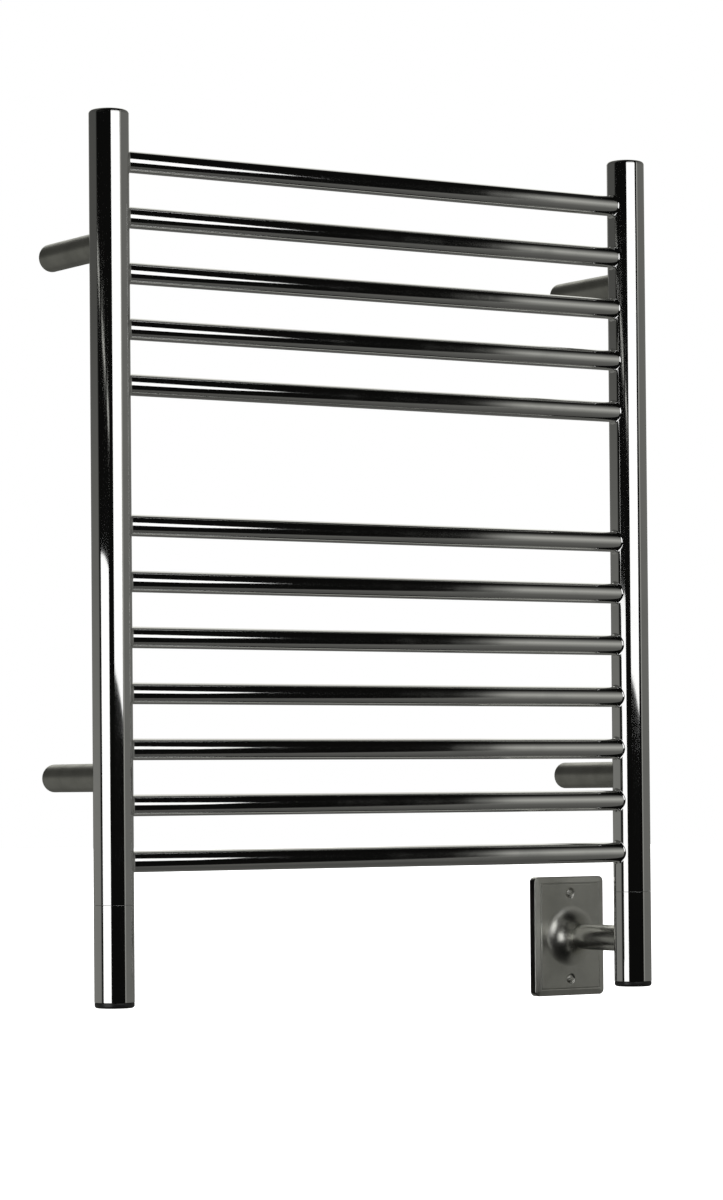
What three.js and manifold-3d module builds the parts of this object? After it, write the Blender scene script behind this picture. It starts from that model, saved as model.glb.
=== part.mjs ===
// A wall-mounted electric towel warmer: two upright posts joined by round cross bars, held off the wall by
// four standoffs and fed through a hollow arm that rises from a cover plate over the outlet box.
// Millimetres. +Z is up, the wall is the plane Y = 0 and the rack stands in front of it on the -Y side,
// X = 0 is midway between the posts, and Z = 0 is level with their lower ends.
import * as THREE from "three";
import { mergeVertices } from "three/addons/utils/BufferGeometryUtils.js";
import Module from "manifold-3d";

const wasm = await Module();
wasm.setup();

// ---------------------------------------------------------------------------------- driving dimensions
const GAP = 0.3; // clearance between pieces that touch
const HEIGHT = 787.4; // lower end of the posts to the tops of their caps
const SPACING = 565; // between the axes of the posts
const TO_WALL = 111; // from the axes of the posts to the wall
const POST_R = 17.75;
const POST_WALL = 1.5;
const BAR_R = 9.5;
const BAR_WALL = 1.2;
const BAR_PITCH = 49.2;
const LOWEST_BAR = 127.5; // height of the lowest bar's axis
const LOWER_BARS = 7;
const UPPER_BARS = 5;
const TOWEL_GAP = 123.8; // between the axes of the bars on either side of the wide gap
const STANDOFF_R = 12.5;
const STANDOFF_WALL = 3;
const SEAM = 90; // height of the joint between a leg sleeve and its post
const PLUG_BAND = 4.8; // how much of an end plug shows below its sleeve
const CAP_RIM = 3.6; // thickness of a top cap above the tube
const ARM_R = 12.4;
const ARM_WALL = 2.4;
const PLATE = { width: 82, height: 115.5, depth: 10, corner: 5, side: 8, cushion: 7, wall: 1.6 };
const TRUMPET = { foot: 30, neck: 20, flange: 33, steps: 6 }; // neck: its height above the plate's face
const COVER_SCREW_SPACING = 83.3;
const CABLE_R = 2; // the heating cable
const CABLE_BEND = 8.5;
const LEAD_R = 1.3;

const POST_SIDES = 28;
const BAR_SIDES = 16;
const SMALL_SIDES = 12;

// ------------------------------------------------------------------------------------- derived places
const POST_BORE = POST_R - POST_WALL;
const BAR_BORE = BAR_R - BAR_WALL;
const STANDOFF_BORE = STANDOFF_R - STANDOFF_WALL;
const ARM_BORE = ARM_R - ARM_WALL;
const RIGHT = SPACING / 2;
const LEFT = -RIGHT;
const POST_Y = -TO_WALL;
const SLEEVE_MIDDLE = SEAM / 2; // height of the supply arm and the cover plate
const BAR_END = Math.sqrt(POST_BORE ** 2 - BAR_R ** 2) - 0.7; // a bar stops this far from the post's axis

const barHeights = [];
for (let i = 0; i < LOWER_BARS; i++) barHeights.push(LOWEST_BAR + i * BAR_PITCH);
const firstUpper = barHeights[LOWER_BARS - 1] + TOWEL_GAP;
for (let i = 0; i < UPPER_BARS; i++) barHeights.push(firstUpper + i * BAR_PITCH);
const midway = (i) => (barHeights[i] + barHeights[i + 1]) / 2;
const standoffHeights = { lower: midway(1), upper: midway(LOWER_BARS + UPPER_BARS - 3) };

// ------------------------------------------------------------------------------------------ finishes
const finish = (color, metalness, roughness) => ({ color, metalness, roughness });
const POLISHED = finish(0xd8d8d6, 1, 0.06);
const SATIN = finish(0x8d8d86, 1, 0.3);
const ZINC = finish(0xa9adb0, 1, 0.4);
const BRASS = finish(0xb5954c, 1, 0.35);
const BLACK = finish(0x101010, 0, 0.4);
const NYLON = finish(0xd9d4c6, 0, 0.5);
const SILICONE = finish(0x6f2d24, 0, 0.6);
const LEAD_COLOURS = { line: 0x151515, neutral: 0xe4e2dc, earth: 0x2f7d3b };

// ------------------------------------------------------------------------------------------- helpers
// A closed geometry as a manifold-3d solid.
function solid(geometry) {
  const g = geometry.clone();
  g.deleteAttribute("normal");
  g.deleteAttribute("uv");
  const merged = mergeVertices(g, 1e-4);
  return new wasm.Manifold(
    new wasm.Mesh({
      numProp: 3,
      vertProperties: merged.attributes.position.array,
      triVerts: new Uint32Array(merged.index.array),
    }),
  );
}

// A solid back as a geometry with flat shading.
function shape(made) {
  const m = made.getMesh();
  const g = new THREE.BufferGeometry();
  g.setAttribute("position", new THREE.BufferAttribute(new Float32Array(m.vertProperties), 3));
  g.setIndex(new THREE.BufferAttribute(new Uint32Array(m.triVerts), 1));
  const flat = g.toNonIndexed();
  flat.computeVertexNormals();
  return flat;
}

const cut = (body, ...tools) => shape(tools.reduce((left, tool) => left.subtract(solid(tool)), solid(body)));
const join = (...parts) => shape(parts.map(solid).reduce((all, next) => all.add(next)));
const overlap = (a, b) => shape(solid(a).intersect(solid(b)));

// Points of an arc round (cx, cy), from angle a to angle b in degrees.
function arc(cx, cy, radius, a, b, steps) {
  const points = [];
  for (let i = 0; i <= steps; i++) {
    const angle = THREE.MathUtils.degToRad(a + ((b - a) * i) / steps);
    points.push([cx + radius * Math.cos(angle), cy + radius * Math.sin(angle)]);
  }
  return points;
}

// A turned piece about Z: its profile is a list of [radius, height], run upwards along the outside.
function turned(profile, sides) {
  const points = profile.map(([r, z]) => new THREE.Vector2(r, z));
  return new THREE.LatheGeometry(points, sides).rotateX(Math.PI / 2);
}

const rod = (radius, from, to, sides) =>
  turned([[0, from], [radius, from], [radius, to], [0, to]], sides);

const tube = (radius, bore, from, to, sides) =>
  turned([[bore, from], [radius, from], [radius, to], [bore, to], [bore, from]], sides);

// Turns a piece made about Z so that its +Z end points to the wall (+Y), or along +X.
const towardsWall = (g) => g.rotateX(-Math.PI / 2);
const alongX = (g) => g.rotateY(Math.PI / 2);

// The prism of a regular hexagon, given across its flats.
function hexagon(acrossFlats, from, to) {
  return rod(acrossFlats / Math.sqrt(3), from, to, 6);
}

// The outline of a rectangle with round corners, centred on the origin.
function roundedRectangle(width, height, radius) {
  const s = new THREE.Shape();
  const x = width / 2 - radius;
  const y = height / 2 - radius;
  s.moveTo(-x, -y - radius);
  s.lineTo(x, -y - radius);
  s.absarc(x, -y, radius, -Math.PI / 2, 0);
  s.absarc(x, y, radius, 0, Math.PI / 2);
  s.absarc(-x, y, radius, Math.PI / 2, Math.PI);
  s.absarc(-x, -y, radius, Math.PI, Math.PI * 1.5);
  return s;
}

// A route of straight runs joined by quarter bends, in which each run is one step and each bend is a few.
class Route extends THREE.Curve {
  constructor(corners, bend, bendSteps) {
    super();
    this.knots = [corners[0].clone()];
    for (let i = 1; i < corners.length - 1; i++) {
      const into = corners[i].clone().sub(corners[i - 1]).normalize();
      const out = corners[i + 1].clone().sub(corners[i]).normalize();
      const centre = corners[i].clone().addScaledVector(into, -bend).addScaledVector(out, bend);
      for (let k = 0; k <= bendSteps; k++) {
        const angle = (Math.PI / 2) * (k / bendSteps);
        const knot = centre.clone().addScaledVector(out, -bend * Math.cos(angle));
        this.knots.push(knot.addScaledVector(into, bend * Math.sin(angle)));
      }
    }
    this.knots.push(corners[corners.length - 1].clone());
    this.steps = this.knots.length - 1;
  }
  getPoint(t, target = new THREE.Vector3()) {
    const place = t * this.steps;
    const i = Math.min(Math.floor(place), this.steps - 1);
    return target.lerpVectors(this.knots[i], this.knots[i + 1], place - i);
  }
  getTangent(t, target = new THREE.Vector3()) {
    const i = Math.round(t * this.steps);
    const before = this.knots[Math.max(i - 1, 0)];
    const here = this.knots[i];
    const after = this.knots[Math.min(i + 1, this.steps)];
    const arriving = here.clone().sub(before).normalize();
    return target.copy(after).sub(here).normalize().add(arriving).normalize();
  }
  getUtoTmapping(u) {
    return u;
  }
}

// A round wire along a curve, with eight sides.
function wire(extrudePath, radius, steps) {
  const section = new THREE.Shape();
  section.absarc(0, 0, radius, 0, Math.PI * 2);
  return new THREE.ExtrudeGeometry(section, { extrudePath, steps, curveSegments: 4 });
}

const rack = new THREE.Group();

// Adds one named piece at a place in the rack.
function add(name, geometry, look, [x, y, z] = [0, 0, 0]) {
  const material = new THREE.MeshStandardMaterial({ ...look, flatShading: true });
  const mesh = new THREE.Mesh(geometry, material);
  mesh.name = name;
  mesh.position.set(x, y, z);
  rack.add(mesh);
}

// ---------------------------------------------------------------------------------- posts and bars
// An upright tube, with a round hole for each bar on the side that faces the other post.
function post(inwards) {
  const body = tube(POST_R, POST_BORE, SEAM + GAP, HEIGHT - CAP_RIM, POST_SIDES);
  const turn = inwards > 0 ? 0 : Math.PI;
  const hole = alongX(rod(BAR_R + GAP, 0, POST_R + 2, BAR_SIDES)).rotateZ(turn);
  return cut(body, ...barHeights.map((z) => hole.clone().translate(0, 0, z)));
}

// A disc with a rounded rim that closes the tube's top, and a short skirt that centres it.
function topCap() {
  const skirt = POST_BORE - GAP;
  const low = HEIGHT - CAP_RIM + GAP;
  const edge = CAP_RIM - GAP - 0.3;
  return turned(
    [
      [0, low],
      [skirt - 2, low],
      [skirt - 2, low - 6],
      [skirt, low - 6],
      [skirt, low],
      [POST_R, low],
      ...arc(POST_R - edge, HEIGHT - edge, edge, 0, 90, 3),
      [0, HEIGHT],
    ],
    POST_SIDES,
  );
}

// A hollow cross bar that ends just inside both posts.
function bar() {
  const reach = SPACING / 2 - BAR_END;
  return alongX(tube(BAR_R, BAR_BORE, -reach, reach, BAR_SIDES));
}

// ------------------------------------------------------------------------------------------ the legs
const SPIGOT = { radius: POST_BORE - GAP, wall: 2, low: SEAM - 26, high: SEAM + 23 };
const LEG_SCREW = { height: SEAM - 13, shank: 2, head: 3.6, headDepth: 1.6, length: 10 };
const LEG_NUT = { acrossFlats: 7, near: 9, far: 12 }; // near and far: from the post's axis
const NIPPLE = { radius: 6.2, bore: 4.9, reach: 5 }; // reach: how near it comes to the post's axis

// The lower end of a post: a separate length of the same tube. The right one has a hole for the nipple.
function legSleeve(powered) {
  const body = tube(POST_R, POST_BORE, PLUG_BAND + GAP, SEAM - GAP, POST_SIDES);
  const screwHole = towardsWall(rod(LEG_SCREW.shank + GAP, 0, POST_R + 2, SMALL_SIDES));
  const tools = [screwHole.translate(0, 0, LEG_SCREW.height)];
  if (powered) {
    const nippleHole = towardsWall(rod(NIPPLE.radius + GAP, 0, POST_R + 2, BAR_SIDES));
    tools.push(nippleHole.translate(0, 0, SLEEVE_MIDDLE));
  }
  return cut(body, ...tools);
}

// The coupling inside the joint between a post and its leg sleeve.
function spigot() {
  const body = tube(SPIGOT.radius, SPIGOT.radius - SPIGOT.wall, SPIGOT.low, SPIGOT.high, POST_SIDES);
  const screwHole = towardsWall(rod(LEG_SCREW.shank + GAP, 0, POST_R, SMALL_SIDES));
  return cut(body, screwHole.translate(0, 0, LEG_SCREW.height));
}

// A pan-head screw along Z with its tip at 0, and a straight slot across the head.
function panScrew({ shank, head, headDepth, length }) {
  const top = length + headDepth;
  const body = turned(
    [
      [0, 0],
      [shank, 0],
      [shank, length],
      [head, length],
      [head, length + headDepth / 2],
      [head * 0.8, top],
      [0, top],
    ],
    SMALL_SIDES,
  );
  const slot = new THREE.BoxGeometry(head * 3, 0.8, headDepth).translate(0, 0, top);
  return cut(body, slot);
}

// The nut on that screw, inside the spigot.
function legNut() {
  const nut = hexagon(LEG_NUT.acrossFlats, LEG_NUT.near, LEG_NUT.far);
  const thread = rod(LEG_SCREW.shank + GAP, LEG_NUT.near - 1, LEG_NUT.far + 1, SMALL_SIDES);
  return towardsWall(cut(nut, thread));
}

// A black cup-shaped plug: a band with a rounded lower edge, and a skirt that grips inside the sleeve.
function endPlug() {
  const outer = POST_R - 0.15;
  const edge = 2.6;
  const skirt = POST_BORE - GAP;
  const skirtTop = PLUG_BAND + 10;
  return turned(
    [
      [0, 0],
      ...arc(outer - edge, edge, edge, -90, 0, 3),
      [outer, PLUG_BAND],
      [skirt, PLUG_BAND],
      [skirt, skirtTop],
      [skirt - 2.5, skirtTop],
      [skirt - 2.5, PLUG_BAND - 1.5],
      [0, PLUG_BAND - 1.5],
    ],
    POST_SIDES,
  );
}

// ---------------------------------------------------------------------------------------- standoffs
const ANCHOR = { radius: STANDOFF_BORE - GAP, length: 24, hole: 2.6, sink: 5.4 };
const GRUB = { radius: 2, distance: 11 }; // distance: from the wall to the grub screw's axis
const FOOT_GAP = 0.6; // a standoff's foot stops short of the wall

// A tube with a rounded foot at the wall, coped at its other end to sit against the back of the post.
function standoff() {
  const edge = 4;
  const body = turned(
    [
      [STANDOFF_BORE, -TO_WALL + POST_R / 2],
      [STANDOFF_R, -TO_WALL + POST_R / 2],
      ...arc(STANDOFF_R - edge, -FOOT_GAP - edge, edge, 0, 60, 2),
      [STANDOFF_R - edge * 0.7, -FOOT_GAP],
      [STANDOFF_BORE, -FOOT_GAP],
      [STANDOFF_BORE, -TO_WALL + POST_R / 2],
    ],
    BAR_SIDES,
  );
  const postClearance = rod(POST_R + GAP, -30, 30, POST_SIDES).translate(0, POST_Y, 0);
  const grubHole = rod(GRUB.radius + GAP, -STANDOFF_R - 2, 0, SMALL_SIDES).translate(0, -GRUB.distance, 0);
  return cut(towardsWall(body), postClearance, grubHole);
}

// The boss that is screwed to the wall: bored and countersunk, with a groove for the grub screw.
function wallAnchor() {
  const groove = 1.2;
  return towardsWall(
    turned(
      [
        [ANCHOR.hole, -ANCHOR.length + ANCHOR.sink - ANCHOR.hole],
        [ANCHOR.sink, -ANCHOR.length],
        [ANCHOR.radius, -ANCHOR.length],
        [ANCHOR.radius, -GRUB.distance - GRUB.radius - groove],
        [ANCHOR.radius - groove, -GRUB.distance - GRUB.radius],
        [ANCHOR.radius - groove, -GRUB.distance + GRUB.radius],
        [ANCHOR.radius, -GRUB.distance + GRUB.radius + groove],
        [ANCHOR.radius, 0],
        [ANCHOR.hole, 0],
        [ANCHOR.hole, -ANCHOR.length + ANCHOR.sink - ANCHOR.hole],
      ],
      BAR_SIDES,
    ),
  );
}

// A headless screw under the standoff, with a hexagon socket in its lower end.
function grubScrew() {
  const top = -(ANCHOR.radius - 1.2 + GAP);
  const low = -STANDOFF_R + 0.2;
  const socket = hexagon(2, low - 1, low + 1.6);
  return cut(rod(GRUB.radius, low, top, SMALL_SIDES), socket).translate(0, -GRUB.distance, 0);
}

// ------------------------------------------------------------------------------------- supply entry
const STRAP = { length: 98, width: 16, back: 1.2, thickness: 1.6 }; // back: how far it is from the wall
const COVER_SCREW = { tip: 0.5, shank: 1.7, head: 3.7, dome: 1.1, sink: 2 };
const NECK_END = PLATE.depth + TRUMPET.neck; // how far the trumpet's end is from the wall

// Points of the trumpet's side, from its foot to its neck: a quarter of an ellipse that leaves the plate's
// face flat and comes upright at the arm. Inset moves it inwards along its normal.
function trumpetSide(inset, steps) {
  const points = [];
  for (let i = steps; i >= 0; i--) {
    const angle = (Math.PI / 2) * (i / steps);
    const radius = ARM_R + (TRUMPET.foot - ARM_R) * (1 - Math.cos(angle));
    const height = NECK_END - TRUMPET.neck * Math.sin(angle);
    points.push([radius - inset * Math.cos(angle), height - inset * Math.sin(angle)]);
  }
  return points;
}

// The cushion-edged plate as a solid block, smaller all round by inset: a block whose edges fall away in a
// curve with mitred corners, rounded at the corners of its outline.
function plateBlock(inset) {
  const { width, height, depth, corner, side, cushion } = PLATE;
  const face = new THREE.Shape();
  const x = width / 2 - cushion;
  const y = height / 2 - cushion;
  face.moveTo(-x, -y).lineTo(x, -y).lineTo(x, y).lineTo(-x, y);
  const cushioned = new THREE.ExtrudeGeometry(face, {
    depth: side,
    bevelEnabled: true,
    bevelSize: cushion - inset,
    bevelThickness: depth - side - inset,
    bevelSegments: 4,
  });
  const outline = new THREE.ExtrudeGeometry(
    roundedRectangle(width - 2 * inset, height - 2 * inset, corner - inset),
    { depth, bevelEnabled: false, curveSegments: 4 },
  );
  return overlap(cushioned, outline);
}

// A pressed cover: a cushion-edged shell with a round opening for the trumpet and two countersunk holes.
function coverPlate() {
  const face = PLATE.depth;
  const inner = plateBlock(PLATE.wall).translate(0, 0, -0.01);
  const tools = [inner, rod(TRUMPET.foot + GAP, 0, face + 4, POST_SIDES)];
  for (const side of [-1, 1]) {
    const { shank, head, sink } = COVER_SCREW;
    const countersunk = turned(
      [
        [0, face - 6],
        [shank + GAP, face - 6],
        [shank + GAP, face - sink],
        [head + GAP, face],
        [head + GAP, face + 4],
        [0, face + 4],
      ],
      SMALL_SIDES,
    );
    tools.push(countersunk.translate(0, (side * COVER_SCREW_SPACING) / 2, 0));
  }
  return cut(plateBlock(0), ...tools);
}

// The flared neck in the plate's opening: level with its face outside, held by a flange behind it.
function coverTrumpet() {
  const back = PLATE.depth - PLATE.wall - GAP;
  const low = back - 1.8;
  const { foot, flange, steps } = TRUMPET;
  const outside = [[0, low], [flange, low], [flange, back], [foot, back], ...trumpetSide(0, steps)];
  const throat = trumpetSide(PLATE.wall, steps).slice(1);
  const bore = [[0, low - 1], [throat[0][0], low - 1], ...throat, [ARM_R - PLATE.wall, NECK_END + 2]];
  return cut(
    turned([...outside, [0, NECK_END]], POST_SIDES),
    turned([...bore, [0, NECK_END + 2]], POST_SIDES),
  );
}

// An oval-head screw along Z, its tip near the wall and its head in the plate's face.
function coverScrew() {
  const { shank, head, dome, sink } = COVER_SCREW;
  const face = PLATE.depth;
  const body = turned(
    [
      [0, COVER_SCREW.tip],
      [shank, COVER_SCREW.tip],
      [shank, face - sink],
      [head, face],
      [head * 0.8, face + dome * 0.6],
      [head * 0.45, face + dome * 0.92],
      [0, face + dome],
    ],
    SMALL_SIDES,
  );
  const slot = new THREE.BoxGeometry(head * 3, 0.9, 1.6).translate(0, 0, face + dome);
  return cut(body, slot);
}

// The flat bar across the outlet box: threaded for the nipple and the cover screws, slotted for the box.
function mountingStrap() {
  const { length, width, back, thickness } = STRAP;
  const plate = new THREE.ExtrudeGeometry(roundedRectangle(width, length, 3), {
    depth: thickness,
    bevelEnabled: false,
    curveSegments: 4,
  }).translate(0, 0, back);
  const tools = [rod(NIPPLE.radius + GAP, 0, 5, BAR_SIDES)];
  for (const side of [-1, 1]) {
    const tapped = rod(COVER_SCREW.shank + GAP, 0, 5, SMALL_SIDES);
    tools.push(tapped.translate(0, (side * COVER_SCREW_SPACING) / 2, 0));
    tools.push(new THREE.BoxGeometry(4, 14, 5).translate(0, side * 24, 2));
  }
  return cut(plate, ...tools);
}

// Turns a piece made with its back at Z = 0 and its face towards +Z so that its back is on the wall.
const ontoWall = (g) => g.rotateX(Math.PI / 2);

// The hollow arm between the trumpet's neck and the leg sleeve, coped to the sleeve.
function supplyArm() {
  const body = ontoWall(tube(ARM_R, ARM_BORE, NECK_END + GAP, TO_WALL - POST_R / 2, BAR_SIDES));
  return cut(body, rod(POST_R + GAP, -30, 30, POST_SIDES).translate(0, POST_Y, 0));
}

// The threaded tube that draws the sleeve, the arm and the strap together.
function nipple() {
  const { radius, bore, reach } = NIPPLE;
  return ontoWall(tube(radius, bore, STRAP.back + GAP, TO_WALL - reach, BAR_SIDES));
}

// The hexagon nut inside the leg sleeve.
function locknut() {
  const near = TO_WALL - POST_BORE + 4; // its flats clear the round wall of the sleeve
  const nut = hexagon(17, near, near + 3.5);
  return ontoWall(cut(nut, rod(NIPPLE.radius + GAP, near - 1, near + 5, BAR_SIDES)));
}

// The plastic bushing in the nipple's wall end, where the supply enters.
function bushing() {
  const bore = NIPPLE.bore - 1.1;
  const low = 0.3;
  return ontoWall(
    turned(
      [
        [bore, low],
        [NIPPLE.radius, low],
        [NIPPLE.radius, STRAP.back],
        [NIPPLE.bore - GAP, STRAP.back],
        [NIPPLE.bore - GAP, STRAP.back + 6],
        [bore, STRAP.back + 6],
        [bore, low],
      ],
      BAR_SIDES,
    ),
  );
}

// ---------------------------------------------------------------------------- the heater and its leads
const CABLE_DROP = 5; // the cable lies low in the bars
const SPLICE = { radius: 2.4, low: 52, length: 13 };
const CUTOFF = { radius: 2.2, length: 12 };
const RISER_X = RIGHT - BAR_END + CABLE_BEND; // the cable's upright run into the lowest bar
const RETURN_X = RIGHT + 9; // the cable's upright run back down from the highest bar
const SPLICE_TOP = SPLICE.low + SPLICE.length;
const LEAD_TOP = SPLICE.low - 3 * GAP; // a lead's cut end is a little tilted
const CUTOFF_LOW = SPLICE_TOP + GAP;
const CUTOFF_TOP = CUTOFF_LOW + CUTOFF.length;

// Up from the cut-off, to and fro through every bar, and back down the right post to the other splice.
function heatingCable() {
  const at = (x, z) => new THREE.Vector3(x, POST_Y, z);
  const corners = [at(RISER_X, CUTOFF_TOP + GAP)];
  let side = 1;
  for (const z of barHeights) {
    corners.push(at(side * RISER_X, z - CABLE_DROP), at(-side * RISER_X, z - CABLE_DROP));
    side = -side;
  }
  const last = corners.pop();
  corners.push(at(RETURN_X, last.z), at(RETURN_X, SPLICE_TOP + GAP));
  const route = new Route(corners, CABLE_BEND, 3);
  return wire(route, CABLE_R, route.steps);
}

// A lead runs straight through the nipple at a place (across, up) in its bore, then by hand-set points
// [across, towards the wall, up] from the axis of the right post, in the leg sleeve.
function lead([across, up], ends) {
  const straight = [-0.5, -40, -80, -102];
  const inNipple = straight.map((y) => new THREE.Vector3(across, y, SLEEVE_MIDDLE + up));
  const inSleeve = ends.map(([x, y, z]) => new THREE.Vector3(x, POST_Y + y, z));
  return wire(new THREE.CatmullRomCurve3([...inNipple, ...inSleeve]), LEAD_R, 26);
}

const LEADS = {
  line: {
    bore: [-1.5, -0.9],
    ends: [[-2, 2, 44.8], [-3.6, -1, 47.8], [RISER_X - RIGHT, 0, LEAD_TOP]],
  },
  neutral: {
    bore: [1.5, -0.9],
    ends: [[3, 2, 44.8], [8, -1, 47.8], [RETURN_X - RIGHT, 0, LEAD_TOP]],
  },
  earth: {
    bore: [0, 1.7],
    ends: [[0.3, 1, 47.5], [0.5, -3, 52], [0.5, -1, 57.5], [0.3, 6, 60.5], [0, 11.2, 64.4]],
  },
};

// A ring tag under the nut of the right leg's screw, with its tongue hanging down inside the spigot.
function earthTag() {
  const low = LEG_NUT.far + GAP;
  const ring = rod(3.6, low, low + 0.8, SMALL_SIDES);
  const tongue = new THREE.BoxGeometry(2.6, 12, 0.8).translate(0, 6, low + 0.4);
  return towardsWall(cut(join(ring, tongue), rod(LEG_SCREW.shank + GAP, low - 1, low + 2, SMALL_SIDES)));
}

// ----------------------------------------------------------------------------------------- assembly
for (const [side, x, inwards] of [["left", LEFT, 1], ["right", RIGHT, -1]]) {
  add("post_" + side, post(inwards), POLISHED, [x, POST_Y, 0]);
  add("top_cap_" + side, topCap(), POLISHED, [x, POST_Y, 0]);
  add("leg_sleeve_" + side, legSleeve(side === "right"), POLISHED, [x, POST_Y, 0]);
  add("leg_spigot_" + side, spigot(), ZINC, [x, POST_Y, 0]);
  const screw = towardsWall(panScrew(LEG_SCREW));
  add("leg_screw_" + side, screw, ZINC, [x, POST_Y + POST_R + GAP - LEG_SCREW.length, LEG_SCREW.height]);
  add("leg_nut_" + side, legNut(), ZINC, [x, POST_Y, LEG_SCREW.height]);
  add("end_plug_" + side, endPlug(), BLACK, [x, POST_Y, 0]);
  for (const [level, z] of Object.entries(standoffHeights)) {
    add(`standoff_${level}_${side}`, standoff(), SATIN, [x, 0, z]);
    add(`wall_anchor_${level}_${side}`, wallAnchor(), ZINC, [x, 0, z]);
    add(`grub_screw_${level}_${side}`, grubScrew(), ZINC, [x, 0, z]);
  }
}

barHeights.forEach((z, i) => {
  add("bar_" + String(i + 1).padStart(2, "0"), bar(), POLISHED, [0, POST_Y, z]);
});

add("cover_plate", ontoWall(coverPlate()), SATIN, [RIGHT, 0, SLEEVE_MIDDLE]);
add("cover_trumpet", ontoWall(coverTrumpet()), SATIN, [RIGHT, 0, SLEEVE_MIDDLE]);
for (const [name, side] of [["cover_screw_upper", 1], ["cover_screw_lower", -1]]) {
  add(name, ontoWall(coverScrew()), ZINC, [RIGHT, 0, SLEEVE_MIDDLE + (side * COVER_SCREW_SPACING) / 2]);
}
add("mounting_strap", ontoWall(mountingStrap()), ZINC, [RIGHT, 0, SLEEVE_MIDDLE]);
add("supply_arm", supplyArm(), SATIN, [RIGHT, 0, SLEEVE_MIDDLE]);
add("arm_nipple", nipple(), BRASS, [RIGHT, 0, SLEEVE_MIDDLE]);
add("nipple_locknut", locknut(), BRASS, [RIGHT, 0, SLEEVE_MIDDLE]);
add("supply_bushing", bushing(), NYLON, [RIGHT, 0, SLEEVE_MIDDLE]);

add("heating_cable", heatingCable(), SILICONE);
add("thermal_cutoff", rod(CUTOFF.radius, CUTOFF_LOW, CUTOFF_TOP, SMALL_SIDES), ZINC, [RISER_X, POST_Y, 0]);
for (const [name, x] of [["splice_line", RISER_X], ["splice_neutral", RETURN_X]]) {
  add(name, rod(SPLICE.radius, SPLICE.low, SPLICE_TOP, SMALL_SIDES), NYLON, [x, POST_Y, 0]);
}
for (const [name, { bore, ends }] of Object.entries(LEADS)) {
  add("lead_" + name, lead(bore, ends), finish(LEAD_COLOURS[name], 0, 0.45), [RIGHT, 0, 0]);
}
add("earth_tag", earthTag(), BRASS, [RIGHT, POST_Y, LEG_SCREW.height]);

export default rack;
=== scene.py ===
"""A wall-mounted electric towel warmer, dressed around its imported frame.

Every tube, cap, plug, bead and cover and every slotted screw is a surface worked out with numpy from the
frame's boxes and a few sizes of its own. The grub screws and the pieces inside the tubes and behind the
cover keep the frame's own shapes and get better finishes.
Metres throughout. +Z is up, the wall is the plane Y = 0 and the rack stands in front of it on the -Y side.
"""

import logging
from collections.abc import Callable
from dataclasses import dataclass
from enum import Enum

import bpy
import numpy as np
from mathutils import Matrix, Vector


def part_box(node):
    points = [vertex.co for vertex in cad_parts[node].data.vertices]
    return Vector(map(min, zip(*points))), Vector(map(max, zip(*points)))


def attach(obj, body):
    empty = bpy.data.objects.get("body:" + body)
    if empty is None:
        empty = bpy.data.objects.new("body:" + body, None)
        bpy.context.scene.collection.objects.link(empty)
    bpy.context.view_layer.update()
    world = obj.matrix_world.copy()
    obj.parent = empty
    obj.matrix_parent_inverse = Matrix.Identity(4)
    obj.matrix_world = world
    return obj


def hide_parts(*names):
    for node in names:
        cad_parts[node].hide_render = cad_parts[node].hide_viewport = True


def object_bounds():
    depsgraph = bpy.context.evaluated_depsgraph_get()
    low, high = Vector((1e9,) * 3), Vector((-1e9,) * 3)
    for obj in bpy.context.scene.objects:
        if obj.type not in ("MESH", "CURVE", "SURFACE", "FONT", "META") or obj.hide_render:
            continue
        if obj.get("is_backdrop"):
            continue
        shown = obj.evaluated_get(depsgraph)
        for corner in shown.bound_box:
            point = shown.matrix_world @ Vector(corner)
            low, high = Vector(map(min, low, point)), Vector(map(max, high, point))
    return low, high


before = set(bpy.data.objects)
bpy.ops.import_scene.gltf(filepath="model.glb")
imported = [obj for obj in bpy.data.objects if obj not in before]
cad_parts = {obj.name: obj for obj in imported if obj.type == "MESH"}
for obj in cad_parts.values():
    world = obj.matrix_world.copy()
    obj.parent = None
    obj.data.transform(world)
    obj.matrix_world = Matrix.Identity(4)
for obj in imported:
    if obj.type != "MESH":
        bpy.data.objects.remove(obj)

Array = np.ndarray
Triple = tuple[float, float, float]
LOG = logging.getLogger("towel_warmer")
MM = 0.001
WELD = 0.0005 * MM
LOOP = 0.6 * MM
SIDES = ("left", "right")
LEVELS = ("lower", "upper")


# ------------------------------------------------ points and skins
class Axis(Enum):
    """Which way the axis of a piece that was worked out about Z is turned."""

    UP = ((1, 0, 0), (0, 1, 0), (0, 0, 1))
    ACROSS = ((0, 0, 1), (1, 0, 0), (0, 1, 0))
    TO_WALL = ((0, 1, 0), (0, 0, 1), (1, 0, 0))

    def turn(self, points: Array) -> Array:
        """Turns points about Z so that their Z runs along this axis.

        Args:
            points: an array whose last dimension is X, Y, Z.

        Returns:
            The turned points.
        """
        return points @ np.array(self.value, float).T


@dataclass(frozen=True)
class Extent:
    """The box of one node of the frame."""

    node: str

    @property
    def low(self) -> Array:
        """The lowest corner."""
        return np.array(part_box(self.node)[0])

    @property
    def high(self) -> Array:
        """The highest corner."""
        return np.array(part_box(self.node)[1])

    @property
    def centre(self) -> Array:
        """The middle of the box."""
        return (self.low + self.high) / 2

    @property
    def half(self) -> Array:
        """Half the size of the box along each axis."""
        return (self.high - self.low) / 2


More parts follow.
